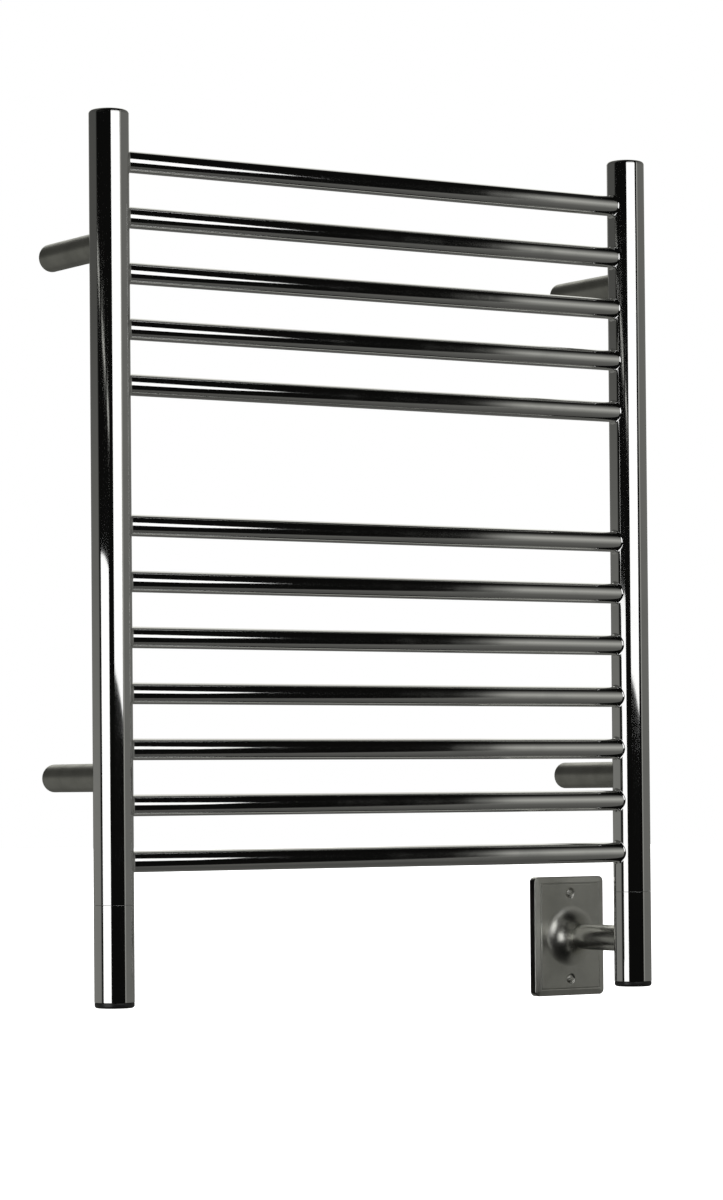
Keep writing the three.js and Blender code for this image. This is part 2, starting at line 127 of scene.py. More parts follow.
def arc(x: float, y: float, radius: float, start: float, end: float, steps: int = 6) -> Array:
    """Points of an arc: (x, y) plus radius times (cos, sin) of an even run of angles.

    Args:
        x: first coordinate of the centre.
        y: second coordinate of the centre.
        radius: of the arc.
        start: first angle, in degrees.
        end: last angle, in degrees.
        steps: how many straight steps stand for the arc.

    Returns:
        An array of steps + 1 rows.
    """
    angle = np.radians(np.linspace(start, end, steps + 1))
    return np.stack([x + radius * np.cos(angle), y + radius * np.sin(angle)], -1)


def line(*points: tuple[float, float]) -> Array:
    """A short run of profile points given one by one."""
    return np.array(points, float)


def wall_section(radius: float, bore: float, low: float, high: float, edge: float) -> Array:
    """The section of a tube's wall: a long rectangle whose four corners are rounded.

    One more row stands close to each corner, so that the smooth shading of the long sides stays level.

    Args:
        radius: outside radius of the tube.
        bore: inside radius.
        low: height of the lower end.
        high: height of the upper end.
        edge: radius of the rounded corners.

    Returns:
        A closed run of (radius, height) rows.
    """
    near = edge + 0.4 * MM
    return np.vstack([
        arc(radius - edge, low + edge, edge, -90, 0),
        line((radius, low + near), (radius, high - near)),
        arc(radius - edge, high - edge, edge, 0, 90),
        arc(bore + edge, high - edge, edge, 90, 180),
        line((bore, high - near), (bore, low + near)),
        arc(bore + edge, low + edge, edge, 180, 270),
    ])


def spun(profile: Array, segments: int) -> Array:
    """Turns a profile about Z: (r, h) becomes (r cos u, r sin u, h) for an even run of u.

    Args:
        profile: rows of (radius, height).
        segments: how many steps go once round.

    Returns:
        A grid of points, segments by rows by 3.
    """
    angle = np.linspace(0, 2 * np.pi, segments, endpoint=False)[:, None]
    radius, height = profile[None, :, 0], profile[None, :, 1]
    return np.stack([radius * np.cos(angle), radius * np.sin(angle), height + 0 * angle], -1)


class Skin:
    """A mesh put together from grids of points."""

    def __init__(self) -> None:
        """Starts with no points."""
        self.points: list[Array] = []
        self.quads: list[Array] = []
        self.count = 0

    def grid(self, points: Array, round_v: bool = False) -> "Skin":
        """Adds one grid, with a quad between each four neighbours; its last row joins the first.

        Args:
            points: U by V by 3.
            round_v: whether the last column joins the first too.

        Returns:
            This skin.
        """
        rows, columns = points.shape[:2]
        index = np.arange(rows * columns).reshape(rows, columns) + self.count
        index = np.vstack([index, index[:1]])
        index = np.hstack([index, index[:, :1]]) if round_v else index
        corners = [index[:-1, :-1], index[1:, :-1], index[1:, 1:], index[:-1, 1:]]
        self.quads.append(np.stack([c.ravel() for c in corners], -1))
        self.points.append(points.reshape(-1, 3))
        self.count += rows * columns
        return self

    def piece(self, name: str, smooth_below: float = 40) -> bpy.types.Object:
        """Makes the object: doubles merged, faces pointing out, edges sharp where faces turn by more.

        Args:
            name: of the object.
            smooth_below: the angle in degrees under which an edge is shaded smooth.

        Returns:
            The new object, at the origin.
        """
        points, quads = np.vstack(self.points), np.vstack(self.quads)
        keys = np.round(points / WELD).astype(np.int64)
        _, first, merged = np.unique(keys, axis=0, return_index=True, return_inverse=True)
        quads = merged.reshape(-1)[quads]
        same = quads == np.roll(quads, 1, axis=1)
        full = quads[~same.any(1)]
        pinched, where = quads[same.sum(1) == 1], same[same.sum(1) == 1]
        corners = np.concatenate([full.ravel(), pinched[~where]])
        sizes = np.concatenate([np.full(len(full), 4), np.full(len(pinched), 3)])
        mesh = bpy.data.meshes.new(name)
        mesh.vertices.add(len(first))
        mesh.vertices.foreach_set("co", points[first].astype(np.float32).ravel())
        mesh.loops.add(len(corners))
        mesh.loops.foreach_set("vertex_index", corners.astype(np.int32))
        mesh.polygons.add(len(sizes))
        starts = np.concatenate([[0], np.cumsum(sizes)[:-1]])
        mesh.polygons.foreach_set("loop_start", starts.astype(np.int32))
        mesh.update(calc_edges=True)
        mesh.validate()
        obj = bpy.data.objects.new(name, mesh)
        bpy.context.scene.collection.objects.link(obj)
        self._face_out(mesh)
        mesh.polygons.foreach_set("use_smooth", np.ones(len(mesh.polygons), bool))
        mesh.set_sharp_from_angle(angle=np.radians(smooth_below))
        return obj

    @staticmethod
    def _face_out(mesh: bpy.types.Mesh) -> None:
        """Turns the whole mesh inside out if its signed volume is negative."""
        mesh.calc_loop_triangles()
        points = np.empty(len(mesh.vertices) * 3, np.float32)
        mesh.vertices.foreach_get("co", points)
        corners = np.empty(len(mesh.loop_triangles) * 3, np.int32)
        mesh.loop_triangles.foreach_get("vertices", corners)
        a, b, c = points.reshape(-1, 3)[corners.reshape(-1, 3)].astype(float).transpose(1, 0, 2)
        if np.einsum("ij,ij->i", a, np.cross(b, c)).sum() < 0:
            mesh.flip_normals()


# ------------------------------------------------ shader arithmetic
class Signal:
    """A socket that takes part in arithmetic: each operation adds a Math node."""

    def __init__(self, wiring: "Wiring", socket: bpy.types.NodeSocket) -> None:
        """Wraps one output socket."""
        self.wiring = wiring
        self.socket = socket

    def out(self, name: str) -> "Signal":
        """Another output of the same node."""
        return Signal(self.wiring, self.socket.node.outputs[name])

    def __add__(self, other: "Signal | float") -> "Signal":
        """Adds."""
        return self.wiring.maths("ADD", self, other)

    __radd__ = __add__

    def __mul__(self, other: "Signal | float") -> "Signal":
        """Multiplies."""
        return self.wiring.maths("MULTIPLY", self, other)

    __rmul__ = __mul__

    def __sub__(self, other: "Signal | float") -> "Signal":
        """Subtracts."""
        return self.wiring.maths("SUBTRACT", self, other)

    def __rsub__(self, other: "Signal | float") -> "Signal":
        """Is subtracted from a number."""
        return self.wiring.maths("SUBTRACT", other, self)

    def __abs__(self) -> "Signal":
        """Drops the sign."""
        return self.wiring.maths("ABSOLUTE", self)

    def step(self, low: float, high: float) -> "Signal":
        """Rises smoothly from 0 at low to 1 at high, and stays there."""
        settings = {"interpolation_type": "SMOOTHSTEP"}
        sockets = {"Value": self, "From Min": low, "From Max": high}
        return self.wiring.node("ShaderNodeMapRange", settings, sockets)

    def between(self, low: float, high: float, soft: float) -> "Signal":
        """Is 1 between low and high and 0 outside, with edges soft wide."""
        rise = self.step(low - soft / 2, low + soft / 2)
        return rise * (1 - self.step(high - soft / 2, high + soft / 2))


class Wiring:
    """The nodes of one material or world."""

    def __init__(self, owner: bpy.types.Material | bpy.types.World) -> None:
        """Clears the owner's nodes."""
        owner.use_nodes = True
        self.tree = owner.node_tree
        self.tree.nodes.clear()

    def node(
        self, kind: str, settings: dict | None = None, sockets: dict | None = None, out: str | int = 0
    ) -> Signal:
        """Adds one node.

        Args:
            kind: the node's type.
            settings: its properties, set first; "stops" are a ramp's (place, grey) pairs.
            sockets: what goes into its inputs, by name or number: a Signal is linked, a value is set.
            out: which output to return.

        Returns:
            That output.
        """
        made = self.tree.nodes.new(kind)
        for name, value in (settings or {}).items():
            if name == "stops":
                self._stops(made, value)
            else:
                setattr(made, name, value)
        for name, value in (sockets or {}).items():
            if isinstance(value, Signal):
                self.tree.links.new(value.socket, made.inputs[name])
            else:
                made.inputs[name].default_value = value
        return Signal(self, made.outputs[out]) if made.outputs else Signal(self, made.inputs[0])

    @staticmethod
    def _stops(ramp: bpy.types.Node, stops: list[tuple[float, float]]) -> None:
        """Fills a colour ramp with greys."""
        elements = ramp.color_ramp.elements
        while len(elements) < len(stops):
            elements.new(1)
        for element, (place, grey) in zip(elements, stops):
            element.position, element.color = place, (grey, grey, grey, 1)

    def maths(self, operation: str, *values: Signal | float) -> Signal:
        """Adds a Math node for one operation on sockets and numbers."""
        return self.node("ShaderNodeMath", {"operation": operation}, dict(enumerate(values)))

    def place(self, scale: Triple = (1, 1, 1)) -> Signal:
        """The place on the piece, stretched along each axis by a scale."""
        spot = self.node("ShaderNodeTexCoord", out="Object")
        return self.node("ShaderNodeMapping", None, {"Vector": spot, "Scale": scale})

    def noise(self, scale: Triple, detail: float = 2, rough: float = 0.5) -> Signal:
        """Noise whose grains are one over scale metres long on each axis."""
        sockets = {"Vector": self.place(scale), "Scale": 1.0, "Detail": detail, "Roughness": rough}
        return self.node("ShaderNodeTexNoise", None, sockets)

    def mix(self, amount: Signal, low: tuple[float, ...], high: tuple[float, ...]) -> Signal:
        """Mixes two colours."""
        made = self.node("ShaderNodeMix", {"data_type": "RGBA"}, out=2)
        node = made.socket.node
        self.tree.links.new(amount.socket, node.inputs[0])
        node.inputs[6].default_value, node.inputs[7].default_value = (*low, 1), (*high, 1)
        return made

    def bump(self, height: Signal, distance: float, under: Signal | None = None) -> Signal:
        """Turns a height from 0 to 1 into a normal, over another normal if there is one."""
        sockets = {"Height": height, "Distance": distance, "Strength": 1.0}
        if under:
            sockets["Normal"] = under
        return self.node("ShaderNodeBump", None, sockets)

    def surface(self, sockets: dict) -> None:
        """Ends a material in a Principled shader with these inputs."""
        shader = self.node("ShaderNodeBsdfPrincipled", None, sockets)
        self.node("ShaderNodeOutputMaterial", None, {"Surface": shader})


# ------------------------------------------------ finishes
def stretched(axis: Axis, along: float, across: float) -> Triple:
    """Noise scales for grain that runs along one axis of the rack."""
    run = axis.turn(np.array([0.0, 0.0, 1.0]))
    return tuple(float(v) for v in run * along + (1 - run) * across)


@dataclass(frozen=True)
class PolishedSteel:
    """Mirror-polished stainless tube: faint waviness along it, wiped smudges, hairline polishing marks."""

    slot: str
    along: Axis
    colour: Triple = (0.80, 0.80, 0.79)
    shade: Triple = (0.76, 0.765, 0.755)
    roughness: float = 0.035
    wave: float = 0.05 * MM

    def material(self) -> bpy.types.Material:
        """Builds the node material."""
        made = bpy.data.materials.new(f"{self.slot}_{self.along.name.lower()}")
        wires = Wiring(made)
        smudge = wires.noise((22, 22, 22), detail=4, rough=0.6).step(0.45, 0.75)
        hairline = wires.noise(stretched(self.along, 30, 2600), detail=1)
        ripple = wires.noise(stretched(self.along, 14, 22), detail=1)
        soft = wires.bump(ripple, self.wave)
        wires.surface({
            "Base Color": wires.mix(smudge, self.colour, self.shade),
            "Metallic": 1.0,
            "Roughness": self.roughness + 0.03 * smudge + 0.02 * hairline,
            "Normal": wires.bump(hairline, 0.0006 * MM, soft),
        })
        return made


@dataclass(frozen=True)
class SatinSteel:
    """Stainless with a fine satin grain, a little darker and rougher where hands and cloths miss it."""

    slot: str
    along: Axis
    colour: Triple = (0.50, 0.50, 0.46)
    shade: Triple = (0.42, 0.42, 0.385)
    roughness: float = 0.27

    def material(self) -> bpy.types.Material:
        """Builds the node material."""
        name = f"{self.slot}_{round(self.roughness * 100)}_{self.along.name.lower()}"
        made = bpy.data.materials.new(name)
        wires = Wiring(made)
        cloud = wires.noise((45, 45, 45), detail=4, rough=0.6).step(0.35, 0.7)
        grain = wires.noise(stretched(self.along, 60, 3200), detail=2)
        wires.surface({
            "Base Color": wires.mix(cloud, self.colour, self.shade),
            "Metallic": 1.0,
            "Roughness": self.roughness + 0.05 * cloud + 0.10 * grain,
            "Normal": wires.bump(grain, 0.004 * MM),
        })
        return made


@dataclass(frozen=True)
class PlatedSteel:
    """Zinc-plated steel: a cool grey with faint crystal patches."""

    slot: str
    colour: Triple = (0.62, 0.63, 0.64)
    shade: Triple = (0.50, 0.52, 0.54)

    def material(self) -> bpy.types.Material:
        """Builds the node material."""
        made = bpy.data.materials.new(self.slot)
        wires = Wiring(made)
        cells = {"Vector": wires.place((420, 420, 420)), "Scale": 1.0}
        patch = wires.node("ShaderNodeTexVoronoi", None, cells, out="Distance")
        dust = wires.noise((160, 160, 160), detail=4)
        wires.surface({
            "Base Color": wires.mix(patch, self.shade, self.colour),
            "Metallic": 1.0,
            "Roughness": 0.30 + 0.16 * dust,
            "Normal": wires.bump(dust, 0.01 * MM),
        })
        return made


@dataclass(frozen=True)
class Brass:
    """Machined brass with fine turning marks round the piece's axis."""

    slot: str
    colour: Triple = (0.68, 0.55, 0.28)
    shade: Triple = (0.55, 0.41, 0.19)

    def material(self) -> bpy.types.Material:
        """Builds the node material."""
        made = bpy.data.materials.new(self.slot)
        wires = Wiring(made)
        turning = wires.noise(stretched(Axis.TO_WALL, 3000, 20), detail=1)
        tarnish = wires.noise((90, 90, 90), detail=4).step(0.4, 0.8)
        wires.surface({
            "Base Color": wires.mix(tarnish, self.colour, self.shade),
            "Metallic": 1.0,
            "Roughness": 0.24 + 0.12 * turning + 0.1 * tarnish,
            "Normal": wires.bump(turning, 0.005 * MM),
        })
        return made


@dataclass(frozen=True)
class Moulded:
    """A moulded or extruded plastic or rubber: fine skin texture and slow changes of tone."""

    slot: str
    colour: Triple
    shade: Triple
    roughness: float
    grain: float = 0.006 * MM

    def material(self) -> bpy.types.Material:
        """Builds the node material."""
        made = bpy.data.materials.new(self.slot)
        wires = Wiring(made)
        tone = wires.noise((70, 70, 70), detail=3)
        skin = wires.noise((2400, 2400, 2400), detail=2)
        wires.surface({
            "Base Color": wires.mix(tone, self.shade, self.colour),
            "Roughness": self.roughness + 0.12 * (tone - 0.5),
            "Normal": wires.bump(skin, self.grain),
        })
        return made


POLISHED_UP = PolishedSteel("polished_steel", Axis.UP)
POLISHED_ACROSS = PolishedSteel("polished_steel", Axis.ACROSS, wave=0.02 * MM)
SATIN_TO_WALL = SatinSteel("satin_steel", Axis.TO_WALL)
# Painted light: the cover and its screws wear the standoffs' satin steel with its base colour raised, so
# that they read lighter.
SATIN_UP_PAINTED_LIGHTER = SatinSteel("satin_steel", Axis.UP, (0.80, 0.80, 0.745), (0.72, 0.72, 0.67), 0.25)
# Partly painted light: the arm's satin steel is smoother, a finer finish, and its base colour is raised
# above the standoffs', so that it reads lighter.
SMOOTH_SATIN_PAINTED_LIGHTER = SatinSteel("satin_steel", Axis.TO_WALL, (0.70, 0.70, 0.655), (0.62, 0.62, 0.58), 0.16)
PLATED = PlatedSteel("plated_steel")
BRASS = Brass("brass")
BLACK_PLUG = Moulded("black_plastic", (0.007, 0.007, 0.007), (0.004, 0.004, 0.004), 0.34)
NYLON = Moulded("nylon", (0.80, 0.77, 0.68), (0.72, 0.68, 0.58), 0.48)
SILICONE = Moulded("silicone", (0.28, 0.07, 0.05), (0.22, 0.05, 0.035), 0.62)
LEAD_BLACK = Moulded("lead_black", (0.018, 0.018, 0.018), (0.012, 0.012, 0.012), 0.3)
LEAD_WHITE = Moulded("lead_white", (0.82, 0.81, 0.78), (0.75, 0.74, 0.70), 0.3)
LEAD_GREEN = Moulded("lead_green", (0.05, 0.30, 0.09), (0.035, 0.24, 0.07), 0.3)

Finish = PolishedSteel | SatinSteel | PlatedSteel | Brass | Moulded


class Dresser:
    """Puts finishes on pieces and ties new pieces to the frame."""

    def __init__(self) -> None:
        """Starts with no materials."""
        self.made: dict[Finish, bpy.types.Material] = {}

    def material(self, finish: Finish) -> bpy.types.Material:
        """The one material of a finish."""
        if finish not in self.made:
            self.made[finish] = finish.material()
        return self.made[finish]

    def new_piece(self, obj: bpy.types.Object, finish: Finish, *nodes: str) -> None:
        """Finishes a new piece, and lets it stand for nodes of the frame.

        Args:
            obj: the piece.
            finish: what it is made of.
            nodes: the nodes that it replaces.
        """
        obj.data.materials.append(self.material(finish))
        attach(obj, "root")
        if nodes:
            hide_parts(*nodes)
        LOG.info("%s: %d faces of %s", obj.name, len(obj.data.polygons), finish.slot)

    def keep(self, finish: Finish, *nodes: str) -> None:
        """Gives nodes that keep the frame's shape a better finish."""
        for node in nodes:
            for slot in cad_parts[node].material_slots:
                slot.material = self.material(finish)
            LOG.info("%s: kept, in %s", node, finish.slot)


# ------------------------------------------------ beads
def bead(stem: float, branch: float, fillet: float, segments: int = 96, sink: float = 0.5 * MM) -> Array:
    """The rolling-ball fillet where a round branch along +X meets a round stem along Z.

    A ball of the fillet's radius rolls touching both: its centre is branch + fillet from the X axis and
    stem + fillet from the Z axis. The face is its arc between the two touching points. The section is
    closed by one more point, sunk inside both tubes.

    Args:
        stem: radius of the upright tube.
        branch: radius of the tube that meets it.
        fillet: radius of the ball.
        segments: steps once round the branch.
        sink: how deep the closing point is under both surfaces.

    Returns:
        A grid of points, segments by section by 3, closed both ways.
    """
    angle = np.linspace(0, 2 * np.pi, segments, endpoint=False)
    y, z = np.cos(angle), np.sin(angle)
    reach = branch + fillet
    centre = np.stack([np.sqrt((stem + fillet) ** 2 - (reach * y) ** 2), reach * y, reach * z], -1)
    to_branch = np.stack([0 * y, -y, -z], -1)
    to_stem = -centre * [1, 1, 0] / (stem + fillet)
    face_points = 9
    part = np.linspace(0, 1, face_points)[None, :, None]
    whole = np.arccos(np.clip((to_branch * to_stem).sum(-1), -1, 1))[:, None, None]
    way = np.sin((1 - part) * whole) * to_branch[:, None] + np.sin(part * whole) * to_stem[:, None]
    face = centre[:, None] + fillet * way / np.sin(whole)
    inner = branch - sink
    buried = np.stack([np.sqrt((stem - sink) ** 2 - (inner * y) ** 2), inner * y, inner * z], -1)
    return np.concatenate([face, buried[:, None]], 1)


# ------------------------------------------------ the ladder
@dataclass
class Upright:
    """One post with its cap, leg sleeve and end plug, and the beads where the bars run into it."""

    side: str
    segments: int = 128
    wall: float = 1.5 * MM
    edge: float = 0.12 * MM
    hairline: float = 0.12 * MM
    cap_edge: float = 3.1 * MM
    plug_edge: float = 2.6 * MM
    fillet: float = 2.2 * MM
    seam: float = 0.22 * MM

    def build(self, dresser: Dresser, bars: list[str]) -> None:
        """Makes and dresses the pieces.

        Args:
            dresser: finishes them.
            bars: the nodes of the cross bars.
        """
        tube, cap = Extent(f"post_{self.side}"), Extent(f"top_cap_{self.side}")
        sleeve, plug = Extent(f"leg_sleeve_{self.side}"), Extent(f"end_plug_{self.side}")
        axis = tube.centre * [1, 1, 0]
        radius = float(tube.half[0])
        bore = radius - self.wall
        top = float(cap.high[2])
        joint = float(tube.high[2])
        seam = (float(tube.low[2]) + float(sleeve.high[2])) / 2
        post = wall_section(radius, bore, seam + self.seam / 2, joint, self.edge)
        # The cap sits on the post's upper end, which is square.
        post[:, 1] = np.where(post[:, 1] > joint - self.edge, joint, post[:, 1])
        parts = {
            "post": (post, True, POLISHED_UP),
            "leg_sleeve": (
                wall_section(radius, bore, float(sleeve.low[2]), seam - self.seam / 2, self.edge),
                True,
                POLISHED_UP,
            ),
            "top_cap": (self._cap(radius, joint + self.hairline, top), False, POLISHED_UP),
            "end_plug": (self._plug(float(plug.half[0]), bore, float(sleeve.low[2])), False, BLACK_PLUG),
        }
        for name, (profile, ring, finish) in parts.items():
            skin = Skin().grid(spun(profile, self.segments) + axis, round_v=ring)
            node = f"{name}_{self.side}"
            dresser.new_piece(skin.piece(node + "_turned"), finish, node)
        self._beads(dresser, axis, radius, bars)

    def _cap(self, radius: float, low: float, top: float) -> Array:
        """A disc with a generously rounded rim and a slightly crowned top."""
        edge, bevel = self.cap_edge, 0.1 * MM
        crown, crown_radius, spread = 0.3 * MM, 300 * MM, 2.2
        return np.vstack([
            line((0, low), (radius - bevel, low), (radius, low + bevel)),
            arc(radius - edge, top - crown - edge, edge, 0, 84, 12),
            arc(0, top - crown_radius, crown_radius, 90 - spread, 90),
        ])

    def _plug(self, radius: float, bore: float, mouth: float) -> Array:
        """A band under the sleeve with a rounded lower edge, a dished foot, and a skirt in the bore."""
        edge, dish, small = self.plug_edge, 0.6 * MM, 0.3 * MM
        band, skirt = mouth - small, 9 * MM
        return np.vstack([
            line((0, dish), (radius * 0.55, dish), (radius * 0.6, 0.1 * MM)),
            arc(radius - edge, edge, edge, -90, 0, 10),
            arc(radius - small, band - small, small, 0, 90, 4),
            line((bore - small, band), (bore - small, band + skirt), (0, band + skirt)),
        ])

    def _beads(self, dresser: Dresser, axis: Array, radius: float, bars: list[str]) -> None:
        """Adds the ground weld beads of all the bars at this post."""
        inwards = -np.sign(axis[0])
        skin = Skin()
        for node in bars:
            bar = Extent(node)
            ring = bead(radius, float(bar.half[2]), self.fillet)
            skin.grid(ring * [inwards, 1, 1] + axis + [0, 0, bar.centre[2]], round_v=True)
        dresser.new_piece(skin.piece(f"bar_beads_{self.side}", 60), POLISHED_UP)


@dataclass
class CrossBar:
    """One hollow round bar, its ends hidden in the posts."""

    node: str
    segments: int = 96
    wall: float = 1.2 * MM

    def build(self, dresser: Dresser) -> None:
        """Makes and dresses the bar."""
        box = Extent(self.node)
        radius, reach = float(box.half[2]), float(box.half[0])
        section = wall_section(radius, radius - self.wall, -reach, reach, 0.2 * MM)
        points = Axis.ACROSS.turn(spun(section, self.segments)) + box.centre
        skin = Skin().grid(points, round_v=True)
        dresser.new_piece(skin.piece(self.node + "_tube"), POLISHED_ACROSS, self.node)


# ------------------------------------------------ standoffs
@dataclass
class Standoff:
    """A tube from the wall to the back of a post, on the boss that is screwed to the wall."""

    level: str
    side: str
    wall: float = 3 * MM
    foot_edge: float = 4 * MM
    lip: float = 0.5 * MM

    def build(self, dresser: Dresser) -> None:
        """Makes and dresses the tube, its bead and the boss."""
        place = f"{self.level}_{self.side}"
        box, post = Extent(f"standoff_{place}"), Extent(f"post_{self.side}")
        radius, foot, edge, lip = float(box.half[2]), float(box.high[1]), self.foot_edge, self.lip
        mouth, back = radius - self.wall, float(post.centre[1]) + float(post.half[0])
        section = np.vstack([
            line((mouth, back), (radius, back), (radius, foot - edge - LOOP)),
            arc(radius - edge, foot - edge, edge, 0, 78, 12),
            arc(mouth + lip, foot - lip, lip, 90, 180, 4),
        ])
        skin = welded_tube(section, box, post)
        dresser.new_piece(skin.piece(f"standoff_{place}_tube"), SATIN_TO_WALL, f"standoff_{place}")
        self._boss(dresser, place, box.centre * [1, 0, 1])

    @staticmethod
    def _boss(dresser: Dresser, place: str, centre: Array) -> None:
        """Makes and dresses the bored and countersunk boss inside the standoff's foot."""
        box = Extent(f"wall_anchor_{place}")
        radius, length = float(box.half[2]), float(box.half[1]) * 2
        hole, sink, bevel = 2.6 * MM, 5.4 * MM, 0.4 * MM
        groove, middle, flat = 1.2 * MM, -11 * MM, 2 * MM
        section = line(
            (hole, -length + sink - hole), (sink, -length), (radius - bevel, -length),
            (radius, -length + bevel), (radius, middle - flat - groove), (radius - groove, middle - flat),
            (radius - groove, middle + flat), (radius, middle + flat + groove), (radius, -bevel),
            (radius - bevel, 0), (hole + bevel, 0), (hole, -bevel),
        )
        points = Axis.TO_WALL.turn(spun(section, 64)) + centre
        skin = Skin().grid(points, round_v=True)
        dresser.new_piece(skin.piece(f"wall_anchor_{place}_boss", 25), PLATED, f"wall_anchor_{place}")


def coped(points: Array, post_y: float, stem: float, sink: float) -> Array:
    """Fits the end of a tube along Y to the back of a post: y there follows the circle of the post.

    Args:
        points: of a tube about the Y axis, its end at the back of the post where x is 0.
        post_y: where the post's axis is.
        stem: radius of the post.
        sink: how far the end goes into the post's surface.

    Returns:
        The points, with the end's moved.
    """
    end = points[..., 1] < post_y + stem + MM
    fitted = post_y + np.sqrt(stem**2 - points[..., 0] ** 2) - sink
    return np.stack([points[..., 0], np.where(end, fitted, points[..., 1]), points[..., 2]], -1)


def welded_tube(section: Array, box: Extent, post: Extent) -> Skin:
    """A tube along Y that is fitted to the back of a post, with the bead where they meet.

    Args:
        section: the tube's wall, as closed rows of (radius, y).
        box: of the tube.
        post: of the post, or of its leg sleeve.

    Returns:
        The skin of both.
    """
    segments, fillet, sink = 96, 0.8 * MM, 0.2 * MM
    post_y, stem = float(post.centre[1]), float(post.half[0])
    centre = box.centre * [1, 0, 1]
    tube = coped(Axis.TO_WALL.turn(spun(section, segments)), post_y, stem, sink)
    ring = bead(stem, float(box.half[2]), fillet, segments)[..., [1, 0, 2]]
    return Skin().grid(tube + centre, round_v=True).grid(ring + centre + [0, post_y, 0], round_v=True)


# ------------------------------------------------ supply entry
@dataclass
class CoverPlate:
    """The pressed cover: a cushion-edged plate that flares out into the neck of the supply arm."""

    side_wall: float = 8 * MM
    cushion: float = 7 * MM
    corner: float = 5 * MM
    inner_corner: float = 0.6 * MM
    rim: float = 0.5 * MM
    thickness: float = 1.6 * MM
    foot: float = 30 * MM
    dish: float = 0.9 * MM
    dish_radius: float = 4.5 * MM
    counts: tuple[int, int, int] = (30, 14, 60)

    def __post_init__(self) -> None:
        """Reads the plate's size and the neck's from the frame."""
        plate, neck, arm = Extent("cover_plate"), Extent("cover_trumpet"), Extent("supply_arm")
        self.centre = plate.centre * [1, 0, 1]
        self.half_width, self.half_height = float(plate.half[0]), float(plate.half[2])
        self.depth = -float(plate.low[1])
        self.neck_end = -float(neck.low[1])
        self.neck = float(arm.half[2])
        self.screws = [Extent(f"cover_screw_{level}").centre - self.centre for level in LEVELS]

    def ring(self, inset: float, corner: float) -> Array:
        """A rectangle with rounded corners, smaller all round by inset, with the same count on each part.

        Args:
            inset: how far inside the plate's outline.
            corner: radius of the corners.

        Returns:
            Rows of (across, up), once round.
        """
        x, y = self.half_width - inset - corner, self.half_height - inset - corner
        upright, bend, level = self.counts
        quarter = np.vstack([
            np.stack([np.full(upright, x + corner), np.linspace(0, y, upright, endpoint=False)], -1),
            arc(x, y, corner, 0, 90, bend)[:-1],
            np.stack([np.linspace(x, 0, level, endpoint=False), np.full(level, y + corner)], -1),
        ])
        half = np.vstack([quarter, self._mirror(quarter)])
        return np.vstack([half, -half])

    @staticmethod
    def _mirror(quarter: Array) -> Array:
        """The next quarter round from a quarter that starts on the X axis."""
        last = np.array([[0, quarter[-1, 1]]])
        return np.vstack([last, quarter[:0:-1] * [-1, 1]])

    def circle(self, radius: float) -> Array:
        """A circle whose points lie in the same directions as those of the plate's outline."""
        outline = self.ring(0, self.corner)
        return radius * outline / np.linalg.norm(outline, axis=1, keepdims=True)

    def edge_height(self, inset: float) -> float:
        """The face's height over the wall at a distance in from the outline.

        A rounded edge, then a slope up to the face, with a narrow crease pressed in where it ends.
        """
        edge_width, edge_rise = 0.15, 0.35
        crease_place, crease_width, crease_depth = 0.93 * self.cushion, 0.55 * MM, 0.4 * MM
        part = inset / self.cushion
        edge = np.sqrt(1 - (1 - np.clip(part / edge_width, 0, 1)) ** 2)
        rise = (self.depth - self.side_wall) * (edge_rise * edge + (1 - edge_rise) * part)
        crease = crease_depth * np.exp(-(((inset - crease_place) / crease_width) ** 2))
        return float(self.side_wall + rise - crease)

    def surface(self) -> Array:
        """All the rings from the neck's outer lip, over the plate to its rim, and back inside."""
        face_steps, edge_steps, lining_steps, back_steps = 41, 40, 10, 11
        rings: list[Array] = []

        def add(outline: Array, height: Array | float) -> None:
            """Adds a ring at a height over the wall."""
            out = np.broadcast_to(-height, len(outline))
            rings.append(np.column_stack([outline[:, 0], out, outline[:, 1]]))

        self._flare(add, 0.0, outwards=True)
        inner_edge = self.ring(self.cushion, self.inner_corner)
        foot = self.circle(self.foot)
        for t in np.linspace(0, 1, face_steps + 1)[1:-1]:
            outline = foot + (inner_edge - foot) * t
            add(outline, self.depth - self._dishes(outline))
        share = 1 - np.sin(np.linspace(0, np.pi / 2, edge_steps))
        for inset in self.cushion * share:
            add(self.ring(inset, max(self.corner - inset, self.inner_corner)), self.edge_height(inset))
        for inset, height in arc(self.rim, self.rim, self.rim, 180, 270, 4):
            add(self.ring(inset, self.corner - inset), height)
        wall = self.thickness
        add(self.ring(wall, self.corner - wall), 0.0)
        for part in np.linspace(0, np.pi / 2, lining_steps):
            inset = wall + (self.cushion - wall) * (1 - np.cos(part))
            height = self.side_wall + (self.depth - wall - self.side_wall) * np.sin(part)
            add(self.ring(inset, max(self.corner - inset, self.inner_corner)), height)
        for t in np.linspace(0, 1, back_steps + 1)[1:-1]:
            add(inner_edge + (foot - inner_edge) * t, self.depth - wall)
        self._flare(add, wall, outwards=False)
        return np.stack(rings, 1)

    def _dishes(self, outline: Array) -> Array:
        """How deep the face is sunk round each screw: level inside, with a smooth rounded side."""
        depth, soft = np.zeros(len(outline)), 0.8 * MM
        for screw in self.screws:
            away = np.hypot(outline[:, 0] - screw[0], outline[:, 1] - screw[2])
            t = np.clip((self.dish_radius + soft - away) / (2 * soft), 0, 1)
            depth += self.dish * t * t * (3 - 2 * t)
        return depth

